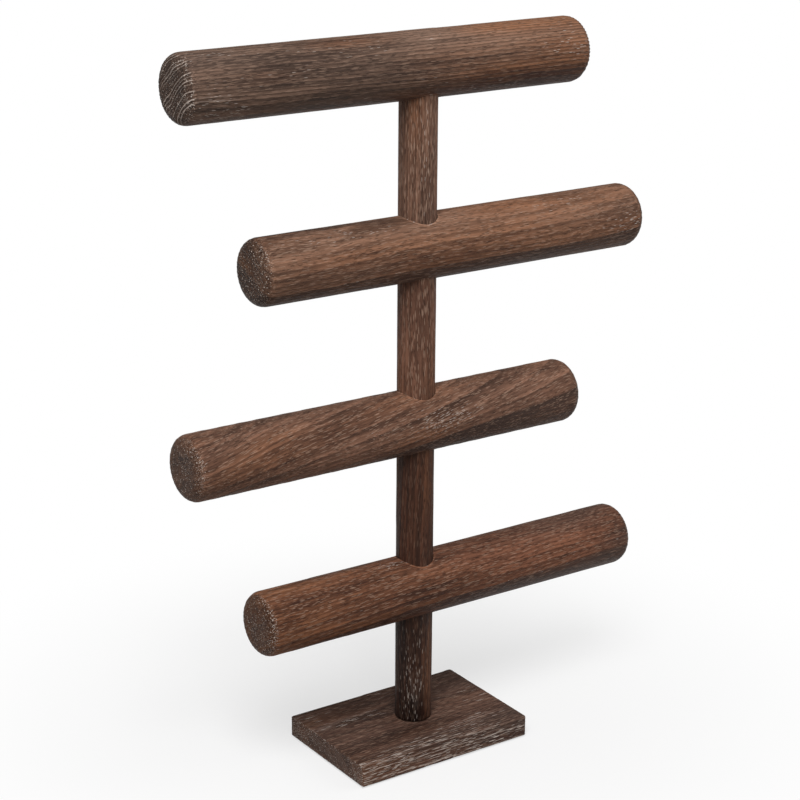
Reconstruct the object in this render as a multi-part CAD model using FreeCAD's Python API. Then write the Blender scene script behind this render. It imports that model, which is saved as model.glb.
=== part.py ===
import FreeCAD, Part
import math
import os

# Four-tier bar stand for bracelets and bangles, all sizes in millimetres.
# A base board carries a round post, built of four sections. Between two sections, and on top of the
# last one, sits a thick round bar whose post hole is off centre. The same bar is used on every tier
# and turned end for end from one tier to the next, so the long arms point left and right in turn.
#
# Frame: X runs along the bars, Y from the front to the back, Z up. The origin is on the post's axis,
# in the plane that the foot pads stand on.

Vector = FreeCAD.Vector
UP = Vector(0, 0, 1)
ALONG_BAR = Vector(1, 0, 0)

# Base board
BASE_LENGTH = 150.0
BASE_DEPTH = 100.0
BASE_THICKNESS = 17.0
BASE_CORNER_RADIUS = 2.0
BASE_EDGE_RADIUS = 1.5
# The board's middle lies a little to the left of the post's axis.
BASE_CENTRE_X = -4.0

# Foot pads under the board's corners
PAD_DIAMETER = 12.0
PAD_THICKNESS = 1.0
PAD_EDGE_CHAMFER = 0.3
PAD_INSET = 12.0

# Bars
BAR_DIAMETER = 48.0
BAR_LENGTH = 332.0
BAR_END_RADIUS = 9.0
BAR_HOLE_OFFSET = 28.0
LOWEST_BAR_HEIGHT = 126.0
TIER_PITCH = 130.0

# Post sections, which stand in round sockets cut in the crown and the belly of each bar
POST_DIAMETER = 28.0
POST_END_CHAMFER = 0.8
SOCKET_DEPTH = 12.0
SOCKET_CLEARANCE = 0.3

# Studs that join the sections through the bars, with a hexagon socket in the lower end
STUD_DIAMETER = 8.0
STUD_ENGAGEMENT = 15.5
STUD_END_CHAMFER = 1.0
STUD_HOLE_CLEARANCE = 0.3
STUD_KEY_SIZE = 4.0
STUD_KEY_DEPTH = 4.0

# Threaded inserts: flange at the mouth, hexagon drive, three biting ridges round the body
INSERT_LENGTH = 16.0
INSERT_WALL = 1.4
INSERT_THREAD_CLEARANCE = 0.05
INSERT_RIDGE_HEIGHT = 0.9
INSERT_RIDGE_COUNT = 3
INSERT_RIDGE_BASE_WIDTH = 2.0
INSERT_FLANGE_WIDTH = 1.8
INSERT_FLANGE_THICKNESS = 1.2
INSERT_KEY_CLEARANCE = 0.5
INSERT_KEY_DEPTH = 3.0
INSERT_FIT_CLEARANCE = 0.05
INSERT_RUN_OUT = 2.5

# Base bolt with a domed head, and its washer
BOLT_HEAD_DIAMETER = 14.0
BOLT_HEAD_HEIGHT = 4.4
BOLT_HEAD_CROWN_DIAMETER = 7.5
BOLT_DOME_RISE = 3.5
BOLT_DOME_BULGE = 0.75
BOLT_KEY_SIZE = 5.0
BOLT_KEY_DEPTH = 2.6
BOLT_HEAD_SUNK = 1.0
WASHER_DIAMETER = 18.0
WASHER_THICKNESS = 1.6
WASHER_EDGE_CHAMFER = 0.3
WASHER_HOLE_CLEARANCE = 0.25
COUNTERBORE_CLEARANCE = 1.0

# Cutters run this far past a face that they open, and edges are picked to within the tolerance
OVERSHOOT = 1.0
EDGE_TOLERANCE = 0.01

# Tiers from the lowest to the top one: the bar's name, and the side that its long arm points to
TIERS = [
    ("lowest_bar", 1),
    ("lower_middle_bar", -1),
    ("upper_middle_bar", 1),
    ("top_bar", -1),
]

BASE_TOP = PAD_THICKNESS + BASE_THICKNESS
BAR_RADIUS = BAR_DIAMETER / 2
POST_RADIUS = POST_DIAMETER / 2
STUD_RADIUS = STUD_DIAMETER / 2
SOCKET_FLOOR = BAR_RADIUS - SOCKET_DEPTH
INSERT_BORE_RADIUS = STUD_RADIUS + INSERT_THREAD_CLEARANCE
INSERT_CORE_RADIUS = INSERT_BORE_RADIUS + INSERT_WALL
INSERT_RIDGE_RADIUS = INSERT_CORE_RADIUS + INSERT_RIDGE_HEIGHT
INSERT_FLANGE_RADIUS = INSERT_RIDGE_RADIUS + INSERT_FLANGE_WIDTH


def bar_height(tier):
    """Height of a bar's axis, counted from tier 0, the lowest."""
    return LOWEST_BAR_HEIGHT + tier * TIER_PITCH


def turned(profile):
    """Solid turned about the Z axis from (radius, height) points."""
    points = [Vector(radius, 0, height) for radius, height in profile]
    outline = Part.makePolygon(points + points[:1])
    return Part.Face(outline).revolve(Vector(0, 0, 0), UP, 360)


def rod(radius, bottom, top):
    """Plain upright cylinder between two heights."""
    return Part.makeCylinder(radius, top - bottom, Vector(0, 0, bottom), UP)


def chamfered_rod(radius, bottom, top, chamfer):
    """Upright cylinder with a chamfer round both ends."""
    return turned([
        (0, bottom),
        (radius - chamfer, bottom),
        (radius, bottom + chamfer),
        (radius, top - chamfer),
        (radius - chamfer, top),
        (0, top),
    ])


def hexagon_key_hole(across_flats, bottom, top):
    """Upright hexagonal prism between two heights."""
    corner_radius = across_flats / 2 / math.cos(math.pi / 6)
    corners = []
    for step in range(7):
        angle = step * math.pi / 3
        corners.append(Vector(corner_radius * math.cos(angle), corner_radius * math.sin(angle), bottom))
    return Part.Face(Part.makePolygon(corners)).extrude(UP * (top - bottom))


def placed_at_mouth(shape, mouth, into):
    """Moves a shape made upwards from height 0 to a hole's mouth, flipped where the hole goes down."""
    if into < 0:
        shape = shape.rotated(Vector(0, 0, 0), ALONG_BAR, 180)
    return shape.translated(UP * mouth)


def insert_pocket(mouth, into):
    """Stepped hole that an insert is driven into: flange recess, body bore and run-out for the stud."""
    bore_depth = INSERT_LENGTH + INSERT_RUN_OUT
    recess = rod(INSERT_FLANGE_RADIUS + INSERT_FIT_CLEARANCE, 0, INSERT_FLANGE_THICKNESS)
    bore = rod(INSERT_RIDGE_RADIUS + INSERT_FIT_CLEARANCE, 0, bore_depth)
    return placed_at_mouth(recess.fuse(bore).removeSplitter(), mouth, into)


def threaded_insert(mouth, into):
    """Flanged insert, flush with the face that its hole opens in."""
    ridge_span = (INSERT_LENGTH - INSERT_FLANGE_THICKNESS) / INSERT_RIDGE_COUNT
    profile = [
        (INSERT_BORE_RADIUS, 0),
        (INSERT_FLANGE_RADIUS, 0),
        (INSERT_FLANGE_RADIUS, INSERT_FLANGE_THICKNESS),
        (INSERT_CORE_RADIUS, INSERT_FLANGE_THICKNESS),
    ]
    half_base = INSERT_RIDGE_BASE_WIDTH / 2
    for ridge in range(INSERT_RIDGE_COUNT):
        crest = INSERT_FLANGE_THICKNESS + (ridge + 0.5) * ridge_span
        profile.append((INSERT_CORE_RADIUS, crest - half_base))
        profile.append((INSERT_RIDGE_RADIUS, crest))
        profile.append((INSERT_CORE_RADIUS, crest + half_base))
    profile.append((INSERT_CORE_RADIUS, INSERT_LENGTH))
    profile.append((INSERT_BORE_RADIUS, INSERT_LENGTH))
    key_size = 2 * (STUD_RADIUS + INSERT_KEY_CLEARANCE)
    body = turned(profile).cut(hexagon_key_hole(key_size, 0, INSERT_KEY_DEPTH))
    return placed_at_mouth(body, mouth, into)


def rim_edges(board, height):
    """Edges of the board that lie wholly at one height."""
    return [edge for edge in board.Edges
            if all(abs(vertex.Z - height) < EDGE_TOLERANCE for vertex in edge.Vertexes)]


def washer_seat():
    """Height of the counterbore's roof, which the washer bears on."""
    return PAD_THICKNESS + BOLT_HEAD_SUNK + BOLT_HEAD_HEIGHT + WASHER_THICKNESS


def base_board():
    """Board with eased corners and edges, bored and counterbored from below for the base bolt."""
    board = Part.makeBox(
        BASE_LENGTH, BASE_DEPTH, BASE_THICKNESS,
        Vector(BASE_CENTRE_X - BASE_LENGTH / 2, -BASE_DEPTH / 2, PAD_THICKNESS),
    )
    upright = [edge for edge in board.Edges if edge.BoundBox.ZLength > EDGE_TOLERANCE]
    board = board.makeFillet(BASE_CORNER_RADIUS, upright)
    rims = rim_edges(board, BASE_TOP) + rim_edges(board, PAD_THICKNESS)
    board = board.makeFillet(BASE_EDGE_RADIUS, rims)
    counterbore = rod(WASHER_DIAMETER / 2 + COUNTERBORE_CLEARANCE, 0, washer_seat())
    bolt_hole = rod(STUD_RADIUS + STUD_HOLE_CLEARANCE, 0, BASE_TOP + OVERSHOOT)
    return board.cut(counterbore).cut(bolt_hole)


def foot_pads():
    """Four round pads, one inside each corner of the board."""
    pad = turned([
        (0, 0),
        (PAD_DIAMETER / 2 - PAD_EDGE_CHAMFER, 0),
        (PAD_DIAMETER / 2, PAD_EDGE_CHAMFER),
        (PAD_DIAMETER / 2, PAD_THICKNESS),
        (0, PAD_THICKNESS),
    ])
    reach = BASE_LENGTH / 2 - PAD_INSET
    left = BASE_CENTRE_X - reach
    right = BASE_CENTRE_X + reach
    y = BASE_DEPTH / 2 - PAD_INSET
    return {
        "front_left_pad": pad.translated(Vector(left, -y, 0)),
        "front_right_pad": pad.translated(Vector(right, -y, 0)),
        "back_left_pad": pad.translated(Vector(left, y, 0)),
        "back_right_pad": pad.translated(Vector(right, y, 0)),
    }


def base_bolt():
    """Domed socket-head bolt, head down in the counterbore, end in the lowest insert."""
    head_bottom = PAD_THICKNESS + BOLT_HEAD_SUNK
    head_top = head_bottom + BOLT_HEAD_HEIGHT
    end = BASE_TOP + STUD_ENGAGEMENT
    head_radius = BOLT_HEAD_DIAMETER / 2
    crown_rim = Vector(BOLT_HEAD_CROWN_DIAMETER / 2, 0, head_bottom)
    dome_rim = Vector(head_radius, 0, head_bottom + BOLT_DOME_RISE)
    chord = dome_rim - crown_rim
    outward = Vector(chord.z, 0, -chord.x).normalize()
    dome_middle = (crown_rim + dome_rim) * 0.5 + outward * BOLT_DOME_BULGE
    outline = [
        Vector(0, 0, head_bottom),
        crown_rim,
        dome_rim,
        Vector(head_radius, 0, head_top),
        Vector(STUD_RADIUS, 0, head_top),
        Vector(STUD_RADIUS, 0, end - STUD_END_CHAMFER),
        Vector(STUD_RADIUS - STUD_END_CHAMFER, 0, end),
        Vector(0, 0, end),
    ]
    edges = [Part.makeLine(outline[0], outline[1])]
    edges.append(Part.Arc(outline[1], dome_middle, outline[2]).toShape())
    for start, stop in zip(outline[2:], outline[3:] + outline[:1]):
        edges.append(Part.makeLine(start, stop))
    body = Part.Face(Part.Wire(edges)).revolve(Vector(0, 0, 0), UP, 360)
    return body.cut(hexagon_key_hole(BOLT_KEY_SIZE, head_bottom, head_bottom + BOLT_KEY_DEPTH))


def washer():
    """Flat washer between the bolt's head and the board."""
    top = washer_seat()
    bottom = top - WASHER_THICKNESS
    outer = WASHER_DIAMETER / 2
    inner = STUD_RADIUS + WASHER_HOLE_CLEARANCE
    return turned([
        (inner, bottom),
        (outer - WASHER_EDGE_CHAMFER, bottom),
        (outer, bottom + WASHER_EDGE_CHAMFER),
        (outer, top),
        (inner, top),
    ])


def section_ends(section):
    """Lower and upper end of a post section: the board or a socket's floor, to the next socket's floor."""
    lower = BASE_TOP if section == 0 else bar_height(section - 1) + SOCKET_FLOOR
    return lower, bar_height(section) - SOCKET_FLOOR


def post_section(section):
    """Round section with chamfered ends and an insert pocket in each end."""
    lower, upper = section_ends(section)
    body = chamfered_rod(POST_RADIUS, lower, upper, POST_END_CHAMFER)
    return body.cut(insert_pocket(lower, 1)).cut(insert_pocket(upper, -1))


def plain_bar(centre_x, height):
    """Round bar with rounded ends, turned about its own axis."""
    half = BAR_LENGTH / 2
    left = centre_x - half
    right = centre_x + half
    shoulder = BAR_RADIUS - BAR_END_RADIUS
    diagonal = BAR_END_RADIUS * math.sqrt(0.5)
    inset = BAR_END_RADIUS - diagonal
    left_face = Vector(left, 0, shoulder)
    left_side = Vector(left + BAR_END_RADIUS, 0, BAR_RADIUS)
    right_side = Vector(right - BAR_END_RADIUS, 0, BAR_RADIUS)
    right_face = Vector(right, 0, shoulder)
    edges = [
        Part.makeLine(Vector(left, 0, 0), left_face),
        Part.Arc(left_face, Vector(left + inset, 0, shoulder + diagonal), left_side).toShape(),
        Part.makeLine(left_side, right_side),
        Part.Arc(right_side, Vector(right - inset, 0, shoulder + diagonal), right_face).toShape(),
        Part.makeLine(right_face, Vector(right, 0, 0)),
        Part.makeLine(Vector(right, 0, 0), Vector(left, 0, 0)),
    ]
    turned_bar = Part.Face(Part.Wire(edges)).revolve(Vector(0, 0, 0), ALONG_BAR, 360)
    return turned_bar.translated(UP * height)


def crossing_bar(tier, long_arm_side):
    """Bar of one tier. Every bar has a socket in its belly for the section below. The lower three also
    have one in the crown and a stud hole between the two; the top one has a blind insert pocket."""
    height = bar_height(tier)
    bar = plain_bar(long_arm_side * BAR_HOLE_OFFSET, height)
    socket_radius = POST_RADIUS + SOCKET_CLEARANCE
    bar = bar.cut(rod(socket_radius, height - BAR_RADIUS - OVERSHOOT, height - SOCKET_FLOOR))
    if tier == len(TIERS) - 1:
        return bar.cut(insert_pocket(height - SOCKET_FLOOR, 1))
    bar = bar.cut(rod(socket_radius, height + SOCKET_FLOOR, height + BAR_RADIUS + OVERSHOOT))
    stud_hole = rod(STUD_RADIUS + STUD_HOLE_CLEARANCE, height - SOCKET_FLOOR, height + SOCKET_FLOOR)
    return bar.cut(stud_hole)


def stud(tier):
    """Double-ended stud through a bar, from the section below into the section, or the insert, above."""
    height = bar_height(tier)
    bottom = height - SOCKET_FLOOR - STUD_ENGAGEMENT
    web_top = height - SOCKET_FLOOR if tier == len(TIERS) - 1 else height + SOCKET_FLOOR
    body = chamfered_rod(STUD_RADIUS, bottom, web_top + STUD_ENGAGEMENT, STUD_END_CHAMFER)
    return body.cut(hexagon_key_hole(STUD_KEY_SIZE, bottom, bottom + STUD_KEY_DEPTH))


def all_pieces():
    """Every piece of the stand by name."""
    pieces = {
        "base_board": base_board(),
        "base_bolt": base_bolt(),
        "base_washer": washer(),
    }
    pieces.update(foot_pads())
    for tier, (bar_name, long_arm_side) in enumerate(TIERS):
        number = tier + 1
        lower, upper = section_ends(tier)
        pieces[f"post_section_{number}"] = post_section(tier)
        pieces[f"post_section_{number}_lower_insert"] = threaded_insert(lower, 1)
        pieces[f"post_section_{number}_upper_insert"] = threaded_insert(upper, -1)
        pieces[f"joint_stud_{number}"] = stud(tier)
        pieces[bar_name] = crossing_bar(tier, long_arm_side)
    top_socket_floor = bar_height(len(TIERS) - 1) - SOCKET_FLOOR
    pieces["top_bar_insert"] = threaded_insert(top_socket_floor, 1)
    return pieces


os.makedirs("parts", exist_ok=True)
for name, shape in all_pieces().items():
    shape.exportStep(f"parts/{name}.step")
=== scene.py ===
"""Dresses the four-tier bracelet stand: brushed and whitewashed wood, plated joints, studio."""

import math
from typing import NamedTuple

import bpy
import numpy as np
from mathutils import Matrix, Vector


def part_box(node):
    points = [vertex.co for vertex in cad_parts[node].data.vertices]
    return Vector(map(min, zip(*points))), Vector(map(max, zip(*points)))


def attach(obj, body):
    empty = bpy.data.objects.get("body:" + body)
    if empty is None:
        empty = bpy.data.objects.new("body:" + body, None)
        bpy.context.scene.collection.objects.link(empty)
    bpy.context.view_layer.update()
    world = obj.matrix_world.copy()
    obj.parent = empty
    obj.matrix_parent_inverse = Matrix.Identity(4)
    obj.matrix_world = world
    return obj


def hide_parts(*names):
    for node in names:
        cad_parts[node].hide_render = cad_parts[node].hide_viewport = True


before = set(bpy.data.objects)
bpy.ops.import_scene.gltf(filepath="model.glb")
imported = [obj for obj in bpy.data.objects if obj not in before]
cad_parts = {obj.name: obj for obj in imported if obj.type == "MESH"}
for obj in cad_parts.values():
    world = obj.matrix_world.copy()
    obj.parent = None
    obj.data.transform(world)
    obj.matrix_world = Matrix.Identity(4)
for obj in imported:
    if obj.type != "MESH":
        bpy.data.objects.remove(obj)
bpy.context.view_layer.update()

bl_info = {
    "name": "Four-tier bracelet stand",
    "version": (1, 0, 0),
    "blender": (4, 5, 0),
    "location": "View3D > Sidebar > Stand",
    "description": "Builds the wooden pieces, the joints and the studio of a bracelet stand",
    "category": "Object",
}

MM = 0.001
X, Y, Z = 0, 1, 2
TIERS = ("lowest_bar", "lower_middle_bar", "upper_middle_bar", "top_bar")
SECTIONS = tuple(f"post_section_{number}" for number in range(1, len(TIERS) + 1))
PADS = ("front_left_pad", "front_right_pad", "back_left_pad", "back_right_pad")


def extent(node, axis):
    """Size of a CAD node along one axis, in metres."""
    low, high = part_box(node)
    return high[axis] - low[axis]


def centre(node, axis):
    """Middle of a CAD node along one axis."""
    low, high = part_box(node)
    return (low[axis] + high[axis]) / 2


# Fits that the CAD pieces keep between them
SOCKET_CLEARANCE = 0.3 * MM
STUD_HOLE_CLEARANCE = 0.3 * MM
INSERT_FIT_CLEARANCE = 0.05 * MM
WASHER_CLEARANCE = 1.0 * MM

POST_RADIUS = extent(SECTIONS[0], X) / 2
BAR_RADIUS = extent(TIERS[0], Z) / 2
SOCKET_RADIUS = POST_RADIUS + SOCKET_CLEARANCE
STUD_HOLE_RADIUS = extent("joint_stud_1", X) / 2 + STUD_HOLE_CLEARANCE
POCKET_RADIUS = extent("top_bar_insert", X) / 2 + INSERT_FIT_CLEARANCE


# -------- settings

class EdgeSettings(bpy.types.PropertyGroup):
    bar_end: bpy.props.FloatProperty(
        name="Bar ends", description="Radius of the rounded edge at each end of a bar",
        default=9 * MM, unit="LENGTH")
    post_chamfer: bpy.props.FloatProperty(
        name="Post ends", description="Chamfer round both ends of a post section",
        default=0.8 * MM, unit="LENGTH")
    board_edge: bpy.props.FloatProperty(
        name="Board edges", description="Radius that the board's edges are eased to",
        default=1.5 * MM, unit="LENGTH")


class FinishSettings(bpy.types.PropertyGroup):
    whitewash: bpy.props.FloatVectorProperty(
        name="Whitewash", description="White pigment left in pores and grooves",
        default=(0.60, 0.51, 0.45), subtype="COLOR")
    thin_wash: bpy.props.FloatVectorProperty(
        name="Thin whitewash", description="Pigment where most of it was rubbed off",
        default=(0.44, 0.29, 0.21), subtype="COLOR")
    grey_brown: bpy.props.FloatVectorProperty(
        name="Grey brown", description="Tint of the greyer stretches of wood",
        default=(0.086, 0.062, 0.052), subtype="COLOR")
    red_brown: bpy.props.FloatVectorProperty(
        name="Red brown", description="Darkest wood in the redder stretches",
        default=(0.060, 0.021, 0.011), subtype="COLOR")
    orange_brown: bpy.props.FloatVectorProperty(
        name="Orange brown", description="Lightest wood in the redder stretches",
        default=(0.330, 0.140, 0.066), subtype="COLOR")
    plating: bpy.props.FloatVectorProperty(
        name="Plating", description="Zinc-plated steel of the joints",
        default=(0.60, 0.61, 0.62), subtype="COLOR")
    pad_colour: bpy.props.FloatVectorProperty(
        name="Foot pads", description="Rubber of the foot pads",
        default=(0.018, 0.017, 0.017), subtype="COLOR")


class StudioSettings(bpy.types.PropertyGroup):
    key_power: bpy.props.FloatProperty(
        name="Key light", description="Power of the large soft light", default=42.0, unit="POWER")
    fill_power: bpy.props.FloatProperty(
        name="Fill light", description="Power of the weak light on the other side",
        default=10.0, unit="POWER")
    sky: bpy.props.FloatProperty(
        name="Sky", description="Strength of the even light from all around", default=0.24)


SETTINGS = {
    "stand_edges": EdgeSettings,
    "stand_finish": FinishSettings,
    "stand_studio": StudioSettings,
}


# -------- repeatable noise

# Odd numbers that scatter the lattice points and the seed, then shifts and factors that mix bits
LATTICE_KEYS = np.array((2376512323, 3625334849, 3407524639), np.uint32)
SEED_KEY = 2654435761
MIXING = ((15, 739982445), (12, 695872825), (15, 1))
WORD = 2 ** 32  # numbers that 32 bits can hold


def lattice_value(cell, seed):
    """Repeatable random number from -1 to 1 for each whole-numbered lattice point."""
    keyed = cell.astype(np.int64).astype(np.uint32) * LATTICE_KEYS
    mixed = np.bitwise_xor.reduce(keyed, axis=-1) ^ np.uint32(seed * SEED_KEY % WORD)
    for shift_by, factor in MIXING:
        mixed = (mixed ^ (mixed >> np.uint32(shift_by))) * np.uint32(factor)
    return mixed / ((WORD - 1) / 2) - 1


def noise(points, scale, seed):
    """Smooth noise from about -1 to 1. scale is the size of a patch along each axis, in metres."""
    lattice = points / np.asarray(scale, float)
    cell = np.floor(lattice)
    share = lattice - cell
    share = share * share * (3 - 2 * share)
    total = np.zeros(len(points))
    for corner in np.ndindex(2, 2, 2):
        weight = np.prod(np.where(corner, share, 1 - share), axis=1)
        total += weight * lattice_value(cell + corner, seed)
    return total


def smooth_step(value, low, high):
    """0 below low, 1 above high, and a smooth rise between."""
    share = np.clip((value - low) / (high - low), 0, 1)
    return share * share * (3 - 2 * share)


def halfway(share):
    """1 where a share is a half, falling to 0 where it is 0 or 1."""
    return 4 * share * (1 - share)


# -------- timber

class Spot(NamedTuple):
    """A place where whitewash was left thick or rubbed away, or where the wood is made lighter or
    darker; some of these lighter and darker patches are painted highlight and painted shade.
    Lengths are in millimetres.
    """
    x: float
    y: float
    z: float
    along: float
    across: float
    wash: float = 0.0
    # made lighter or darker; on some spots this is painted highlight, on others painted shade
    light: float = 0.0


class Timber(NamedTuple):
    """How a piece was sawn from its plank and brushed. Lengths are in millimetres."""
    seed: int
    along: int                # axis that the grain runs along
    pith: tuple               # the two other coordinates of the tree's middle
    ring_gap: float           # distance between two growth rings
    slope: tuple = (0, 0)     # sideways run of the grain for each metre along it
    wander: float = 1.5       # how far the grain wanders sideways
    ring_depth: float = 0.12  # relief between the rings, of the fibres and on the end grain
    fibre_depth: float = 0.14
    end_depth: float = 0.20
    wash: float = 0.3         # share of the pores that keep their whitewash
    tone: float = 0.0         # -1 grey brown, 1 red brown
    figure: float = 0.0       # size of the waves in the grain
    drift: float = 0.0        # how much lighter the wood gets for each metre along it
    tone_drift: float = 0.0   # how much redder it gets for each metre along it
    shaded_heart: float = 0.0        # radius of the zone round the pith that is painted darker: painted shade on a bar's underside
    patchiness: float = 0.30  # unevenness of the whitewash
    seat_wear_and_highlight: float = 1.0    # whiter whitewash round a post's socket, with a painted highlight along its edge
    spots: tuple = ()


# Kinds of noise in the wood: length and width of a patch in millimetres, and step on the seed
SLOW_WANDER = (110, 70, 0)
QUICK_WANDER = (28, 16, 2)
FIGURE = (9, 14, 5)
RING_SPACING = (260, 9, 6)
CARVED_FIBRES = (16, 1.3, 7)
CARVED_TUFTS = (45, 3.4, 8)
CARVED_PITS = (3, 1.6, 9)
WASH_PATCHES = (60, 12, 10)
TONE_PATCHES = (70, 14, 11)

# The grain, and the shares of what is carved on the sides and on the end grain
QUICK_SHARE = 0.3  # of the quick wander, beside the slow one
RING_UNEVENNESS = 0.55  # in ring gaps
LATE_WOOD_RISE = (0.45, 0.90)  # part of a ring where the dense late wood sets in
LATE_WOOD_FALL = (0.93, 1.00)  # part of a ring where it ends
END_GRAIN_TURN = (0.35, 0.80)  # how far a face looks along the grain
SIDE_FIBRES, SIDE_TUFTS = 0.6, 0.4
END_RINGS, END_PITS = 0.65, 0.35
RELIEF_FADE = 1.5 * MM  # from a socket's edge to the full relief

# What the finish does at the end grain, in the zone round the pith that paints shade on a bar's
# underside, and round a post's socket
EDGE_WASH, END_WASH = 0.30, 0.22
TONE_SPREAD = 0.6
HEART_EDGE = 0.8 * MM
HEART_WASH, HEART_EDGE_WASH = 0.08, 0.25
# Lightness and tone in the zone round the pith: the lightness is painted shade on the bars'
# undersides
HEART_PAINTED_SHADE, HEART_TONE = -0.26, -0.35
SEAT_EDGE = 0.7 * MM
# Whitewash and painted highlight round a post's socket
SEAT_WASH, SEAT_PAINTED_HIGHLIGHT = 0.6, 0.35


def grain_noise(plank, timber, kind, side=0):
    """Noise of one kind, from about -1 to 1."""
    along, across, step = kind
    size = (along * MM, across * MM, across * MM)
    return noise(plank, size, timber.seed + step + side)


def grain_share(plank, timber, kind):
    """Noise of one kind, from about 0 to 1."""
    return 0.5 + 0.5 * grain_noise(plank, timber, kind)


def grain_coordinates(points, timber):
    """Points in the plank's axes, bent as the grain bends: along it, then two across it."""
    across = [axis for axis in (X, Y, Z) if axis != timber.along]
    plank = points[:, [timber.along] + across].copy()
    plank[:, 1:] -= np.multiply(timber.pith, MM)
    run = plank[:, 0].copy()
    for side in (1, 2):
        slow = grain_noise(plank, timber, SLOW_WANDER, side)
        quick = grain_noise(plank, timber, QUICK_WANDER, side)
        bend = timber.wander * MM * (slow + QUICK_SHARE * quick)
        plank[:, side] += bend - timber.slope[side - 1] * run
    plank[:, 1] += timber.figure * MM * grain_noise(plank, timber, FIGURE)
    return plank


def ring_count(plank, timber):
    """Growth rings counted out from the pith, unevenly spaced. Whole numbers are dark lines."""
    distance = np.hypot(plank[:, 1], plank[:, 2]) / (timber.ring_gap * MM)
    return distance + RING_UNEVENNESS * grain_noise(plank, timber, RING_SPACING)


def late_wood(rings):
    """1 on the dense late wood at the end of each ring, 0 in the soft early wood."""
    phase = rings % 1
    return smooth_step(phase, *LATE_WOOD_RISE) * (1 - smooth_step(phase, *LATE_WOOD_FALL))


def spot_strength(points, spot, along):
    """1 in the middle of a spot, and less and less round it."""
    offset = points - np.multiply((spot.x, spot.y, spot.z), MM)
    run = offset[:, along]
    aside = np.sum(offset ** 2, axis=1) - run ** 2
    return np.exp(-((run / (spot.along * MM)) ** 2 + aside / (spot.across * MM) ** 2))


def finish_on_points(points, plank, timber, end_grain, fibre):
    """Whitewash, tone and lightness of each point."""
    run = points[:, timber.along]
    wash = (timber.wash + timber.patchiness * grain_noise(plank, timber, WASH_PATCHES)
            + EDGE_WASH * halfway(end_grain) + END_WASH * end_grain)
    tone = timber.tone + TONE_SPREAD * grain_noise(plank, timber, TONE_PATCHES)
    tone += timber.tone_drift * run
    light = timber.drift * run
    # The zone round the pith covers the bar's underside: it is darkened there as painted shade,
    # and also made greyer, with more whitewash and a whiter line at its edge
    if timber.shaded_heart:
        from_pith = np.hypot(plank[:, 1], plank[:, 2])
        rim = timber.shaded_heart * MM
        shaded_heart = 1 - smooth_step(from_pith, rim - HEART_EDGE, rim + HEART_EDGE)
        wash += HEART_WASH * shaded_heart + HEART_EDGE_WASH * fibre * halfway(shaded_heart)
        light += HEART_PAINTED_SHADE * shaded_heart
        tone += HEART_TONE * shaded_heart
    # Spots add or take away whitewash and lightness; some are painted highlight and painted shade
    for spot in timber.spots:
        strength = spot_strength(points, spot, timber.along)
        wash += spot.wash * strength
        light += spot.light * strength
    return wash, tone, light


def rows(values, field):
    """One vector for each point of a mesh."""
    numbers = np.empty(len(values) * 3)
    values.foreach_get(field, numbers)
    return numbers.reshape(-1, 3)


def store(mesh, name, values):
    """Writes one number or one vector on each point of a mesh."""
    kind, field = ("FLOAT_VECTOR", "vector") if values.ndim == 2 else ("FLOAT", "value")
    attribute = mesh.attributes.new(name, kind, "POINT")
    attribute.data.foreach_set(field, values.astype(np.float32).ravel())


def brush(piece, timber, keep_radius=0.0):
    """Carves the brushed grain into a mesh, always inwards, and stores on its points what the
    finish needs. Points within keep_radius of the post's axis stay where they are."""
    mesh = piece.data
    points, normals = rows(mesh.vertices, "co"), rows(mesh.vertex_normals, "vector")
    from_axis = np.hypot(points[:, X], points[:, Y])
    plank = grain_coordinates(points, timber)
    rings = ring_count(plank, timber)
    soft = 1 - late_wood(rings)
    end_grain = smooth_step(np.abs(normals[:, timber.along]), *END_GRAIN_TURN)
    fibre = grain_share(plank, timber, CARVED_FIBRES)
    tufts = grain_share(plank, timber, CARVED_TUFTS)
    pits = grain_share(plank, timber, CARVED_PITS)

    depth = timber.ring_depth * MM * soft
    depth += timber.fibre_depth * MM * (SIDE_FIBRES * fibre + SIDE_TUFTS * tufts)
    depth *= 1 - end_grain
    depth += end_grain * (timber.end_depth * MM) * (END_RINGS * soft + END_PITS * pits)
    if keep_radius:
        depth *= smooth_step(from_axis, keep_radius, keep_radius + RELIEF_FADE)
    mesh.vertices.foreach_set("co", (points - normals * depth[:, None]).ravel())

    wash, tone, light = finish_on_points(points, plank, timber, end_grain, fibre)
    if keep_radius:
        # A whiter rim of whitewash round the socket, and a painted highlight along its edge
        seat = timber.seat_wear_and_highlight * np.exp(-((from_axis - keep_radius) / SEAT_EDGE) ** 2)
        wash += SEAT_WASH * fibre * seat
        light += SEAT_PAINTED_HIGHLIGHT * seat
    stored = {"grain": plank / MM, "rings": rings, "wash": np.clip(wash, 0, 1), "tone": tone,
              "light": light, "end_grain": end_grain}
    for name, values in stored.items():
        store(mesh, name, values)
    mesh.update()


# -------- meshes

SHARP_ANGLE = math.radians(50)
DRILL_SEGMENTS = 96
OVERSHOOT = 1.0 * MM  # how far a cutter stands out of the wood
TINY = 1e-6  # anything smaller is rounding


def new_piece(name, points, faces):
    """Mesh object with smooth faces, and sharp edges only where faces meet steeply."""
    mesh = bpy.data.meshes.new(name)
    mesh.from_pydata([tuple(point) for point in points], [], faces)
    mesh.shade_smooth()
    mesh.set_sharp_from_angle(angle=SHARP_ANGLE)
    piece = bpy.data.objects.new(name, mesh)
    bpy.context.scene.collection.objects.link(piece)
    return piece


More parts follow.
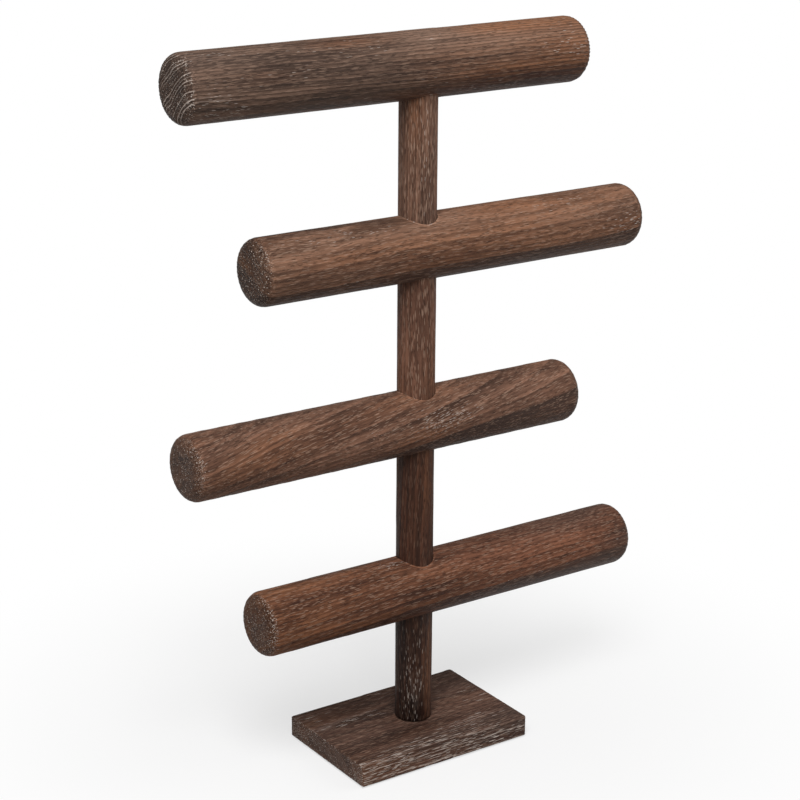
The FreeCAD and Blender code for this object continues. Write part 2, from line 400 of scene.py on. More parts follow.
def spaced(profile, step):
    """Profile with extra points, so that none of its straight runs is longer than step."""
    dense = [profile[0]]
    for start, stop in zip(profile, profile[1:]):
        parts = max(1, math.ceil(math.dist(start, stop) / step - TINY))
        for part in range(1, parts + 1):
            share = part / parts
            dense.append(tuple(a + (b - a) * share for a, b in zip(start, stop)))
    return dense


def quarter_turn(middle, radius, start_angle, parts):
    """Points of a quarter circle in the (along, radius) plane, from start_angle, clockwise."""
    angles = [start_angle - math.pi / 2 * part / parts for part in range(parts + 1)]
    return [(middle[0] + radius * math.cos(a), middle[1] + radius * math.sin(a)) for a in angles]


def lathe(name, profile, segments, axis, turn=0.0):
    """Closed turned piece round an axis. The profile is (along, radius) points, starts and ends
    on the axis, and keeps the solid on its left. turn is the angle of its first line of points."""
    def place(along, radius, angle):
        point = [radius * math.cos(angle), radius * math.sin(angle)]
        point.insert(axis, along)
        return point

    def number(ring, step):
        return ring * segments + step % segments

    steps = range(segments)
    angles = [turn + 2 * math.pi * step / segments for step in steps]
    points = [place(along, radius, angle) for along, radius in profile[1:-1] for angle in angles]
    faces = []
    last_ring = len(profile) - 3
    for ring in range(last_ring):
        faces += [(number(ring, step), number(ring, step + 1),
                   number(ring + 1, step + 1), number(ring + 1, step)) for step in steps]
    first_end, last_end = len(points), len(points) + 1
    points += [place(profile[0][0], 0.0, 0.0), place(profile[-1][0], 0.0, 0.0)]
    faces += [(first_end, number(0, step + 1), number(0, step)) for step in steps]
    faces += [(last_end, number(last_ring, step), number(last_ring, step + 1)) for step in steps]
    return new_piece(name, points, faces)


def shift(piece, offset):
    """Moves a piece's mesh, so that its object stays at the origin."""
    piece.data.transform(Matrix.Translation(offset))


def cut(piece, cutter):
    """Cuts the cutter out of a piece, and removes it."""
    modifier = piece.modifiers.new("cut", "BOOLEAN")
    modifier.operation = "DIFFERENCE"
    modifier.solver = "EXACT"
    modifier.object = cutter
    graph = bpy.context.evaluated_depsgraph_get()
    mesh = bpy.data.meshes.new_from_object(piece.evaluated_get(graph))
    piece.modifiers.clear()
    piece.data = mesh
    bpy.data.objects.remove(cutter)
    mesh.name = piece.name
    mesh.shade_smooth()
    mesh.set_sharp_from_angle(angle=SHARP_ANGLE)


def drill(*steps):
    """Stepped cutter on the post's axis, of (height, radius) steps from the lowest up. Its lines
    of points lie beside those of a bar, so that no two points of a cut piece fall together."""
    profile = [(steps[0][0], 0), *steps, (steps[-1][0], 0)]
    return lathe("drill", profile, DRILL_SEGMENTS, Z, turn=math.pi / DRILL_SEGMENTS)


def finish_piece(piece, material, body, slot, *nodes):
    """Gives a piece its material and its body, and hides the CAD nodes that it stands for. Its
    slot argument is not used.
    """
    piece.data.materials.clear()
    piece.data.materials.append(material)
    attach(piece, body)
    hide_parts(*nodes)


# -------- materials

CELL_TURN = (0.55, 0.80, 0.35)  # in radians
MARK_ONSET = 0.06  # how fast a mark comes in as their share grows
MARK_CORE = 0.6  # part of a mark that has full strength


class Texture(NamedTuple):
    """Noise: its cells in each unit of length on three axes, its detail and its roughness."""
    cells: tuple
    detail: float = 2.0
    roughness: float = 0.55


class Tree:
    """Node tree of a new material or world, with short calls to add and link nodes."""

    def __init__(self, name, kind="materials"):
        self.owner = getattr(bpy.data, kind).new(name)
        self.owner.use_nodes = True
        self.nodes, self.links = self.owner.node_tree.nodes, self.owner.node_tree.links
        self.shader = self.nodes.get("Principled BSDF") or self.nodes["Background"]

    def put(self, socket, value):
        """Links an output to a socket, or sets the socket to a plain value."""
        if isinstance(value, bpy.types.NodeSocket):
            self.links.new(value, socket)
        else:
            socket.default_value = (*value, 1.0) if socket.type == "RGBA" else value

    def add(self, kind, inputs=(), **settings):
        """New shader node with its settings, and its inputs by number or name."""
        node = self.nodes.new("ShaderNode" + kind)
        for key, value in settings.items():
            setattr(node, key, value)
        for key, value in dict(inputs).items():
            self.put(node.inputs[key], value)
        return node

    def attribute(self, name, output="Fac"):
        """What brush() stored on the points under that name."""
        return self.add("Attribute", attribute_name=name).outputs[output]

    def math(self, operation, a, b=0.0):
        """One sum of two numbers."""
        return self.add("Math", {0: a, 1: b}, operation=operation).outputs[0]

    def product(self, first, *others):
        """Values multiplied with each other."""
        for value in others:
            first = self.math("MULTIPLY", first, value)
        return first

    def total(self, first, *weighted):
        """A value, and others added to it that come with their weights."""
        for value, weight in weighted:
            part = value if weight == 1 else self.math("MULTIPLY", value, weight)
            first = self.math("ADD", first, part)
        return first

    def rise(self, value, low, high, floor=0.0, top=1.0):
        """Smooth rise from floor to top while the value goes from low to high."""
        node = self.add("MapRange", {
            "Value": value, "From Min": low, "From Max": high, "To Min": floor, "To Max": top},
            interpolation_type="SMOOTHSTEP")
        return node.outputs[0]

    def stretched(self, vector, cells):
        """Vector stretched, then turned so that a texture's cells form no rows along the grain."""
        node = self.add("Mapping", {
            "Vector": vector, "Scale": cells, "Rotation": CELL_TURN, "Location": cells})
        return node.outputs[0]

    def noise(self, vector, texture):
        """Noise from 0 to 1 over a stretched vector."""
        node = self.add("TexNoise", {
            "Vector": self.stretched(vector, texture.cells), "Scale": 1.0,
            "Detail": texture.detail, "Roughness": texture.roughness})
        return node.outputs["Fac"]

    def marks(self, vector, cells, size, share):
        """Scattered short marks over a stretched vector: share of its cells hold one."""
        places = self.add("TexVoronoi", {"Vector": self.stretched(vector, cells), "Scale": 1.0})
        chance = self.add("SeparateColor", {0: places.outputs["Color"]}).outputs[0]
        held = self.rise(self.math("SUBTRACT", share, chance), 0.0, MARK_ONSET)
        mark = self.rise(places.outputs["Distance"], size, MARK_CORE * size)
        return self.math("MULTIPLY", held, mark)

    def blend(self, share, a, b, mode="MIX"):
        """Mix of two colours."""
        node = self.add("Mix", data_type="RGBA", blend_type=mode, clamp_factor=True)
        sockets = {socket.identifier: socket for socket in node.inputs}
        for key, value in (("Factor_Float", share), ("A_Color", a), ("B_Color", b)):
            self.put(sockets[key], value)
        return next(s for s in node.outputs if s.identifier == "Result_Color")

    def bump(self, height, strength, distance):
        """Relief too fine for the mesh. distance is its height in metres."""
        node = self.add("Bump", {"Height": height, "Strength": strength, "Distance": distance})
        return node.outputs[0]

    def surface(self, **inputs):
        """Sets or links inputs of the shader, with underscores for spaces."""
        for key, value in inputs.items():
            self.put(self.shader.inputs[key.replace("_", " ")], value)
        return self.owner


def shaded(colour, share):
    """Darker or lighter colour."""
    return tuple(channel * share for channel in colour)


class Stain(NamedTuple):
    """How a piece took its stain and its whitewash."""
    dark: tuple
    light: tuple
    ring_contrast: float = 0.35
    streak: float = 1.0
    pores: float = 0.60        # how dark the pores are
    fleck: float = 0.85        # strength of the whitewash in the pores
    coarse: float = 0.30       # share of the wide pores that are filled where the wash lies thick
    reach: float = 1.0         # length of the pores on the sides
    pitch: float = 1.75        # fine pores in each millimetre across the grain
    rubbed: float = 0.45       # strength of the thin pigment on the open grain
    ring_wash: float = 0.2     # whitewash lying along the ring grooves
    end_shade: float = 0.48    # end grain drinks more stain
    end_rings: float = 0.30    # how much of the rings shows on the end grain
    depth: float = 0.40        # height of the finest grain, in millimetres


# Cells and marks of the grain: how many in each millimetre along it, and twice across it. The
# size of a mark is a share of its cell.
FIBRES = Texture((0.075, 1.55, 1.55), detail=4.0, roughness=0.82)
STREAKS = Texture((0.018, 0.36, 0.36), detail=3.0, roughness=0.60)
CLOUDS = Texture((0.010, 0.07, 0.07))
DASHES = Texture((0.12, 1.20, 1.20), detail=2.5, roughness=0.60)
PORE_CELLS, PORE_SIZE, PORE_SHARE = (0.18, 1.15, 1.15), 0.50, 0.40
HAIR_CELLS, HAIR_SIZE = (0.14, 1.60, 1.60), 0.54
FILLED_ALONG = 0.24
FINE_SIZE = 0.46
WIDE_PITCH, WIDE_SIZE = 1.00, 0.42

# Weights in the wood's lightness, where the fibres weigh 1, and its spread to either side
STREAK_WEIGHT, CLOUD_WEIGHT, YEAR_WEIGHT = 0.75, 0.70, 0.22
LIGHT_SPREAD = 0.42
SOAKED = 0.55  # how dark pores and late wood are, beside the dark stain

# Rises from one value to another, with the results there where they aren't 0 and 1
RING_RISE = (0.40, 0.85)  # over a ring, where the late wood darkens
RING_FALL = (1.00, 0.92)
GREY_SHARE = (0.0, -1.1, 0.0, 0.60)  # over the tone
RED_SHARE = (0.0, 1.2, 0.0, 0.75)
HAIR_SHARE = (0.0, 0.6, 0.36, 0.55)  # over the whitewash
GROOVE_RISE = (0.00, 0.08)  # over a ring, where whitewash lies in its groove
GROOVE_FALL = (0.36, 0.18)
DASH_RISE = (0.36, 0.46)
YEAR_RISE = (0.20, 0.65)  # only some years' grooves hold whitewash
GROOVE_WASH = (0.20, 0.70)  # over the whitewash, as the next three
FINE_WASH = (0.05, 0.80)
WIDE_WASH = (0.35, 0.85)
STRONG_WASH = (0.0, 0.45)
WOOD_ROUGHNESS = (0.0, 1.0, 0.54, 0.72)

RING_FRAY = 0.6  # how far the fibres fray the rings, in ring gaps
FINE_LEAST, FINE_MOST = 0.01, 0.75  # shares of the fine pores that are filled
WIDE_TAKES = 0.5  # what the wide pores take away from them
END_FINE_LOSS, END_WIDE_GAIN = 0.60, 0.20
FAINT = 0.35  # strength of the whitewash where it lies thinnest
FIBRE_HEIGHT, RING_HEIGHT, STREAK_HEIGHT, PORE_HEIGHT, FILLED_HEIGHT = 0.9, 0.30, 0.5, -0.4, 0.25
WOOD_GLOSS = 0.14


class Grain:
    """What the stain, the whitewash and the finest relief of one piece of wood share."""

    def __init__(self, tree):
        self.place = tree.attribute("grain", "Vector")
        self.end = tree.attribute("end_grain")
        self.wash = tree.attribute("wash")
        self.fibres = tree.noise(self.place, FIBRES)
        self.streaks = tree.noise(self.place, STREAKS)
        self.pores = tree.marks(self.place, PORE_CELLS, PORE_SIZE, PORE_SHARE)
        fray = tree.product(tree.math("SUBTRACT", self.fibres, 0.5), RING_FRAY)
        rings = tree.math("ADD", tree.attribute("rings"), fray)
        self.phase = tree.math("FRACT", rings)
        self.late = tree.product(
            tree.rise(self.phase, *RING_RISE), tree.rise(self.phase, *RING_FALL))
        year = tree.add("TexWhiteNoise", {"W": tree.math("FLOOR", rings)}, noise_dimensions="1D")
        self.year = year.outputs["Value"]


def stained(tree, grain, stain):
    """Lightness of the wood, and its colour under the stain."""
    finish = bpy.context.scene.stand_finish
    clouds = tree.noise(grain.place, CLOUDS)
    light = tree.total(
        grain.fibres, (grain.streaks, STREAK_WEIGHT * stain.streak), (clouds, CLOUD_WEIGHT),
        (tree.attribute("light"), 1), (grain.year, YEAR_WEIGHT))
    middle = 0.5 * (1 + CLOUD_WEIGHT + YEAR_WEIGHT + STREAK_WEIGHT * stain.streak)
    light = tree.rise(light, middle - LIGHT_SPREAD, middle + LIGHT_SPREAD)
    colour = tree.blend(light, stain.dark, stain.light)
    tone = tree.attribute("tone")
    colour = tree.blend(tree.rise(tone, *GREY_SHARE), colour, finish.grey_brown)
    ruddy = tree.blend(light, finish.red_brown, finish.orange_brown)
    colour = tree.blend(tree.rise(tone, *RED_SHARE), colour, ruddy)
    contrast = tree.rise(
        grain.end, 0.0, 1.0, stain.ring_contrast, stain.ring_contrast * stain.end_rings)
    soaked = tree.math(
        "MAXIMUM", tree.product(grain.pores, stain.pores), tree.product(grain.late, contrast))
    colour = tree.blend(soaked, colour, shaded(stain.dark, SOAKED))
    shade = tree.rise(grain.end, 0.0, 1.0, 1.0, stain.end_shade)
    shade = tree.add("CombineColor", {0: shade, 1: shade, 2: shade}).outputs[0]
    return light, tree.blend(1.0, colour, shade, "MULTIPLY")


def filled_pores(tree, grain, stain):
    """Where whitewash fills the fine pores and the wide ones."""
    along = FILLED_ALONG / stain.reach
    most = FINE_MOST - WIDE_TAKES * stain.coarse
    share = tree.rise(grain.wash, *FINE_WASH, FINE_LEAST, most)
    fewer = tree.math("SUBTRACT", 1.0, tree.product(grain.end, END_FINE_LOSS))
    fine = tree.marks(
        grain.place, (along, stain.pitch, stain.pitch), FINE_SIZE, tree.product(share, fewer))
    share = tree.rise(grain.wash, *WIDE_WASH, 0.0, stain.coarse)
    share = tree.total(share, (grain.end, END_WIDE_GAIN))
    wide = tree.marks(grain.place, (along, WIDE_PITCH, WIDE_PITCH), WIDE_SIZE, share)
    strength = tree.rise(grain.wash, *STRONG_WASH, FAINT * stain.fleck, stain.fleck)
    strength = tree.math("MAXIMUM", strength, grain.end)
    return tree.product(tree.math("MAXIMUM", fine, wide), strength)


def washed_grooves(tree, grain, stain):
    """Where whitewash lies along the ring grooves, in dashes."""
    groove = tree.product(
        tree.rise(grain.phase, *GROOVE_RISE), tree.rise(grain.phase, *GROOVE_FALL),
        tree.rise(tree.noise(grain.place, DASHES), *DASH_RISE), tree.rise(grain.year, *YEAR_RISE))
    lying = tree.product(
        tree.rise(grain.wash, *GROOVE_WASH), tree.math("SUBTRACT", 1.0, grain.end))
    lying = tree.total(lying, (grain.end, stain.end_rings))
    return tree.product(groove, tree.product(lying, stain.ring_wash))


def wood(name, stain):
    """Brushed wood under brown stain, with whitewash in its pores and ring grooves."""
    finish = bpy.context.scene.stand_finish
    tree = Tree(name)
    grain = Grain(tree)
    light, colour = stained(tree, grain, stain)
    hairs = tree.marks(grain.place, HAIR_CELLS, HAIR_SIZE, tree.rise(grain.wash, *HAIR_SHARE))
    colour = tree.blend(tree.product(hairs, stain.rubbed), colour, finish.thin_wash)
    filled = filled_pores(tree, grain, stain)
    white = tree.math("MAXIMUM", filled, washed_grooves(tree, grain, stain))
    colour = tree.blend(white, colour, finish.whitewash)
    height = tree.total(
        tree.product(grain.fibres, FIBRE_HEIGHT), (grain.late, RING_HEIGHT),
        (grain.streaks, STREAK_HEIGHT), (grain.pores, PORE_HEIGHT), (filled, FILLED_HEIGHT))
    return tree.surface(
        Base_Color=colour, Roughness=tree.rise(light, *WOOD_ROUGHNESS),
        Normal=tree.bump(height, 1.0, stain.depth * MM), Specular_IOR_Level=WOOD_GLOSS)


# Metal and rubber: cells in each metre
TURNING_MARKS = Texture((300.0, 300.0, 5200.0))
TURNING_DEPTH = 0.04 * MM
BLOTCHES = Texture((420.0,) * 3, detail=3.0)
BLOTCH_RISE = (0.35, 0.65)
DULL_PLATING = 0.72
PLATING_ROUGHNESS = (0.3, 0.7, 0.28, 0.44)  # over the blotches
PEBBLES = Texture((2600.0,) * 3)
PEBBLE_RISE = (0.4, 0.7)
PEBBLE_DEPTH = 0.05 * MM
WORN_RUBBER = 2.2
RUBBER_ROUGHNESS = 0.82


def plated_steel():
    """Zinc-plated steel with faint turning marks."""
    tree = Tree("zinc_plated_steel")
    place = tree.add("TexCoord").outputs["Object"]
    blotch = tree.noise(place, BLOTCHES)
    plating = bpy.context.scene.stand_finish.plating
    dull = shaded(plating, DULL_PLATING)
    colour = tree.blend(tree.rise(blotch, *BLOTCH_RISE), plating, dull)
    return tree.surface(
        Base_Color=colour, Roughness=tree.rise(blotch, *PLATING_ROUGHNESS), Metallic=1.0,
        Normal=tree.bump(tree.noise(place, TURNING_MARKS), 0.4, TURNING_DEPTH))


def pad_rubber():
    """Black rubber with a fine pebbled skin."""
    tree = Tree("pad_rubber")
    place = tree.add("TexCoord").outputs["Object"]
    pebble = tree.noise(place, PEBBLES)
    base = bpy.context.scene.stand_finish.pad_colour
    colour = tree.blend(tree.rise(pebble, *PEBBLE_RISE), base, shaded(base, WORN_RUBBER))
    return tree.surface(
        Base_Color=colour, Roughness=RUBBER_ROUGHNESS,
        Normal=tree.bump(pebble, 0.6, PEBBLE_DEPTH))


# -------- bars

BAR_SEGMENTS = 240
BAR_STEP = 2.0 * MM
END_STEP = 0.65 * MM

# The heart zones round the piths darken the bars' undersides as painted shade
BAR_TIMBER = {
    "top_bar": Timber(
        seed=11, along=X, pith=(-77, 424), ring_gap=2.4, slope=(0.02, -0.01), wander=1.2,
        ring_depth=0.16, end_depth=0.6, wash=0.10, tone=0.60, drift=0.3, tone_drift=5.2,
        spots=(Spot(-166, -17, 498, 30, 10, wash=0.50, light=0.06),
               Spot(-60, -16, 526, 70, 24, light=-0.10),
               # Painted highlight along the top of the bar's right part, and painted shade under
               # it
               Spot(70, -8, 542, 110, 18, light=0.42),
               Spot(80, -18, 494, 110, 16, light=-0.50))),
    "upper_middle_bar": Timber(
        seed=31, along=X, pith=(34, 310), ring_gap=3.4, slope=(-0.01, 0.02), wander=2.0,
        wash=0.06, tone=0.42, figure=0.7, shaded_heart=86,
        spots=(Spot(176, -24, 388, 16, 8, wash=0.35),
               Spot(-105, 4, 410, 60, 16, light=-0.34),
               Spot(80, -10, 408, 60, 20, light=0.12))),
    "lower_middle_bar": Timber(
        seed=57, along=X, pith=(-20, 196), ring_gap=3.8, slope=(0.10, 0.16), wander=3.0,
        wash=0.03, tone=0.2, figure=0.8, shaded_heart=50, patchiness=0.22,
        spots=(Spot(18, -23, 261, 28, 10, wash=0.46, light=-0.15),
               Spot(4, -9, 279, 34, 11, wash=-0.30, light=0.20),
               Spot(-189, -19, 262, 5, 14, wash=0.40))),
    "lowest_bar": Timber(
        seed=73, along=X, pith=(-46, 72), ring_gap=3.0, slope=(-0.05, 0.07), wander=2.2,
        wash=0.05, tone=0.50, tone_drift=-5.5, shaded_heart=50, patchiness=0.20,
        spots=(Spot(-24, -6, 149, 10, 4, wash=0.8),
               Spot(24, -9, 148, 34, 12, wash=-0.35),
               Spot(-134, -22, 126, 4, 18, wash=0.3),
               Spot(10, -22, 122, 50, 16, light=-0.14),
               # Painted highlight on the upper side of the bar's right part, and painted shade on
               # its lower side
               Spot(120, -14, 136, 50, 18, light=0.34),
               Spot(115, -17, 105, 60, 10, light=-0.30))),
}

BAR_STAIN = {
    "top_bar": Stain(
        dark=(0.050, 0.030, 0.022), light=(0.264, 0.161, 0.114), ring_contrast=0.5,
        ring_wash=0.85, end_shade=0.60, end_rings=1.0, rubbed=0.30),
    "upper_middle_bar": Stain(
        dark=(0.056, 0.027, 0.017), light=(0.350, 0.186, 0.118), ring_wash=0.1, end_shade=0.46),
    "lower_middle_bar": Stain(
        dark=(0.049, 0.024, 0.016), light=(0.290, 0.148, 0.096), ring_wash=0.15, end_shade=0.54,
        rubbed=0.50, coarse=0.08, pitch=2.1),
    "lowest_bar": Stain(
        dark=(0.039, 0.016, 0.010), light=(0.270, 0.112, 0.064), ring_wash=0.15),
}


def turned_bar(name):
    """Round bar with rounded ends, and its post sockets, stud hole and insert pocket."""
    end_radius = bpy.context.scene.stand_edges.bar_end
    low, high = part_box(name)
    shoulder = BAR_RADIUS - end_radius
    parts = math.ceil(end_radius * math.pi / 2 / END_STEP)
    left_edge = quarter_turn((low[X] + end_radius, shoulder), end_radius, math.pi, parts)
    right_edge = quarter_turn((high[X] - end_radius, shoulder), end_radius, math.pi / 2, parts)
    profile = spaced([(low[X], 0), (low[X], shoulder)], END_STEP)
    profile += left_edge[1:-1]
    profile += spaced([left_edge[-1], right_edge[0]], BAR_STEP)
    profile += right_edge[1:-1]
    profile += spaced([(high[X], shoulder), (high[X], 0)], END_STEP)
    bar = lathe(name + "_wood", profile, BAR_SEGMENTS, X)
    shift(bar, (0, 0, centre(name, Z)))
    cut(bar, socket_drill(name, low[Z] - OVERSHOOT, high[Z] + OVERSHOOT))
    return bar


def socket_drill(name, bottom, top):
    """Cutter that enters one bar at the bottom: belly socket, then stud hole and crown socket out
    to the top, or the top bar's insert pocket."""
    tier = TIERS.index(name)
    belly_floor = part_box(SECTIONS[tier])[1][Z]
    steps = [(bottom, SOCKET_RADIUS), (belly_floor, SOCKET_RADIUS)]
    if name == TIERS[-1]:
        insert_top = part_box("top_bar_insert")[1][Z]
        return drill(*steps, (belly_floor, POCKET_RADIUS), (insert_top, POCKET_RADIUS))
    crown_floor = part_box(SECTIONS[tier + 1])[0][Z]
    steps += [(belly_floor, STUD_HOLE_RADIUS), (crown_floor, STUD_HOLE_RADIUS)]
    return drill(*steps, (crown_floor, SOCKET_RADIUS), (top, SOCKET_RADIUS))


class STAND_OT_bars(bpy.types.Operator):
    """Turns the four round bars, brushes their grain and finishes them"""
    bl_idname = "stand.bars"
    bl_label = "Bars"

    def execute(self, context):
        for name in TIERS:
            bar = turned_bar(name)
            brush(bar, BAR_TIMBER[name], SOCKET_RADIUS)
            finish_piece(bar, wood(name + "_stain", BAR_STAIN[name]), name, "stained_bar", name)
        return {"FINISHED"}


# -------- post

POST_SEGMENTS = 128
POST_STEP = 1.6 * MM

POST_TIMBER = {
    "post_section_1": Timber(
        seed=91, along=Z, pith=(30, 52), ring_gap=2.6, slope=(0.03, 0.02), wander=1.2,
        wash=0.04, tone=0.2,
        spots=(Spot(-12, -7, 42, 40, 9, wash=0.30),
               Spot(8, -11, 70, 60, 8, light=0.25),
               Spot(-4, -13, 66, 60, 6, light=-0.30),
               # Painted shade round the post's foot, where it meets the board
               Spot(-9, -11, 22, 14, 14, light=-0.35))),
    "post_section_2": Timber(
        seed=103, along=Z, pith=(-44, 30), ring_gap=2.8, slope=(0.02, -0.03), wander=1.2,
        wash=0.05, tone=0.4),
    "post_section_3": Timber(
        seed=127, along=Z, pith=(26, 60), ring_gap=2.4, slope=(-0.03, 0.01), wander=1.2,
        wash=0.05, tone=0.3),
    "post_section_4": Timber(
        seed=139, along=Z, pith=(-60, 36), ring_gap=2.2, slope=(0.02, 0.02), wander=1.2,
        wash=0.03, tone=-2.1, tone_drift=5.0),
}

POST_STAIN = {
    "post_section_1": Stain(
        dark=(0.007, 0.0035, 0.003), light=(0.070, 0.035, 0.026), fleck=0.8, coarse=0.0,
        reach=1.3, pitch=2.3, rubbed=0.14),
    "post_section_2": Stain(
        dark=(0.018, 0.008, 0.005), light=(0.110, 0.046, 0.028), fleck=0.4,
        reach=1.3, pitch=2.1, rubbed=0.14),
    "post_section_3": Stain(
        dark=(0.044, 0.021, 0.014), light=(0.245, 0.119, 0.078),
        reach=1.2, pitch=2.1, rubbed=0.50),
    "post_section_4": Stain(
        dark=(0.056, 0.029, 0.020), light=(0.290, 0.153, 0.101),
        reach=1.2, pitch=2.1, rubbed=0.60),
}


def turned_section(name):
    """Post section with chamfered ends and the insert's pocket in each end."""
    chamfer = bpy.context.scene.stand_edges.post_chamfer
    low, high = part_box(name)
    bottom, top = low[Z], high[Z]
    pocket_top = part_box(name + "_lower_insert")[1][Z]
    pocket_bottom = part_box(name + "_upper_insert")[0][Z]
    profile = [(pocket_top, 0), (pocket_top, POCKET_RADIUS), (bottom, POCKET_RADIUS),
               (bottom, POST_RADIUS - chamfer)]
    side = [(bottom + chamfer, POST_RADIUS), (top - chamfer, POST_RADIUS)]
    profile += spaced(side, POST_STEP)
    profile += [(top, POST_RADIUS - chamfer), (top, POCKET_RADIUS),
                (pocket_bottom, POCKET_RADIUS), (pocket_bottom, 0)]
    return lathe(name + "_wood", profile, POST_SEGMENTS, Z)


class STAND_OT_post(bpy.types.Operator):
    """Turns the four post sections, brushes their grain and finishes them"""
    bl_idname = "stand.post"
    bl_label = "Post"

    def execute(self, context):
        for name in SECTIONS:
            section = turned_section(name)
            brush(section, POST_TIMBER[name])
            stain = wood(name + "_stain", POST_STAIN[name])
            finish_piece(section, stain, "stand", "stained_post", name)
        return {"FINISHED"}


# -------- base board

BOARD_STEPS = (1.6 * MM, 0.8 * MM, 0.7 * MM)  # between two points along X, Y and Z
ROUNDING_PARTS = 5

BOARD_TIMBER = Timber(
    seed=151, along=X, pith=(18, -42), ring_gap=1.8, slope=(0.02, 0.01), wander=1.6,
    ring_depth=0.25, fibre_depth=0.2, wash=0.08, tone=-0.1, tone_drift=-3.0, figure=0.5,
    patchiness=0.25, seat_wear_and_highlight=0.0,
    spots=(Spot(-76, 42, 18, 22, 22, wash=0.30, light=0.10),
           Spot(-52, -8, 18, 22, 12, wash=0.34, light=0.16),
           Spot(-34, 22, 18, 24, 8, wash=0.24, light=0.10),
           Spot(-30, -40, 18, 34, 7, wash=0.26),
           Spot(30, -30, 18, 30, 8, wash=0.30),
           Spot(50, 14, 18, 26, 9, wash=0.26),
           Spot(56, -10, 18, 40, 50, wash=0.1, light=0.28),
           Spot(-79, -50, 4, 60, 16, wash=0.3, light=0.2),
           Spot(-4, -50, 8, 150, 13, wash=0.54, light=-0.10)))
BOARD_STAIN = Stain(
    dark=(0.023, 0.011, 0.008), light=(0.148, 0.079, 0.056), streak=0.7, fleck=1.0, coarse=0.45,
    reach=2.2, pitch=2.0, rubbed=0.34, ring_wash=0.70, end_shade=0.90)


def grid_line(low, high, radius, step):
    """Positions along one side of a rounded box: close in the roundings, even between."""
    turns = [math.pi / 2 * part / ROUNDING_PARTS for part in range(ROUNDING_PARTS)]
    rounding = [radius * (1 - math.cos(turn)) for turn in turns]
    count = max(2, round((high - low - 2 * radius) / step) + 1)
    inner = np.linspace(low + radius, high - radius, count)
    return np.concatenate([low + np.array(rounding), inner, high - np.array(rounding[::-1])])


def rounded_block(name, low, high, radius, steps):
    """Closed box of small faces with all its edges and corners rounded."""
    lines = [grid_line(low[a], high[a], radius, steps[a]) for a in (X, Y, Z)]
    numbers, points, faces = {}, [], []

    def number(axis, end, u, v):
        cell = [u, v]
        cell.insert(axis, end)
        if tuple(cell) not in numbers:
            numbers[tuple(cell)] = len(points)
            points.append([line[at] for line, at in zip(lines, cell)])
        return numbers[tuple(cell)]

    for axis in (X, Y, Z):
        side, other = [a for a in (X, Y, Z) if a != axis]
        for end in (0, len(lines[axis]) - 1):
            for i, j in np.ndindex(len(lines[side]) - 1, len(lines[other]) - 1):
                ring = [(i, j), (i + 1, j), (i + 1, j + 1), (i, j + 1)]
                if (end == 0) != (axis == Y):
                    ring.reverse()
                faces.append([number(axis, end, u, v) for u, v in ring])
    points = np.array(points)
    inner = np.clip(points, np.array(low) + radius, np.array(high) - radius)
    out = points - inner
    length = np.maximum(np.linalg.norm(out, axis=1), TINY * MM)
    return new_piece(name, inner + out / length[:, None] * radius, faces)


class STAND_OT_base_board(bpy.types.Operator):
    """Shapes the base board with its bolt hole, brushes its grain and finishes it"""
    bl_idname = "stand.base_board"
    bl_label = "Base board"

    def execute(self, context):
        low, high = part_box("base_board")
        edge_radius = context.scene.stand_edges.board_edge
        board = rounded_block("base_board_wood", low, high, edge_radius, BOARD_STEPS)
        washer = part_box("base_washer")[1]
        counterbore = washer[X] + WASHER_CLEARANCE
        cut(board, drill((low[Z] - OVERSHOOT, counterbore), (washer[Z], counterbore),
                         (washer[Z], STUD_HOLE_RADIUS),
                         (high[Z] + OVERSHOOT, STUD_HOLE_RADIUS)))
        brush(board, BOARD_TIMBER, POST_RADIUS)
        stain = wood("base_board_stain", BOARD_STAIN)
        finish_piece(board, stain, "stand", "stained_board", "base_board")
        return {"FINISHED"}


# -------- foot pads and joints

PAD_SEGMENTS = 64
PAD_STEP = 1.0 * MM
PAD_EDGE_SHARE = 0.45  # of the thickness
PAD_EDGE_PARTS = 5


class STAND_OT_foot_pads(bpy.types.Operator):
    """Shapes the four rubber foot pads with a soft edge"""
    bl_idname = "stand.foot_pads"
    bl_label = "Foot pads"

    def execute(self, context):
        material = pad_rubber()
        for name in PADS:
            bottom, top = (corner[Z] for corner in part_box(name))
            radius = extent(name, X) / 2
            edge = extent(name, Z) * PAD_EDGE_SHARE
            rim = quarter_turn((bottom + edge, radius - edge), edge, math.pi, PAD_EDGE_PARTS)
            profile = spaced([(bottom, 0), (bottom, radius - edge)], PAD_STEP) + rim[1:]
            profile += [(top, radius), (top, 0)]
            pad = lathe(name + "_rubber", profile, PAD_SEGMENTS, Z)
            shift(pad, (centre(name, X), centre(name, Y), 0))
            finish_piece(pad, material, "stand", "pad_rubber", name)
        return {"FINISHED"}


class STAND_OT_joints(bpy.types.Operator):
    """Plates the studs, the inserts, the base bolt and its washer"""
    bl_idname = "stand.joints"
    bl_label = "Joints"

    def execute(self, context):
        material = plated_steel()
        for name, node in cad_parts.items():
            if "insert" in name or "stud" in name or name in ("base_bolt", "base_washer"):
                node.data.materials.clear()
                node.data.materials.append(material)
        return {"FINISHED"}


# -------- studio

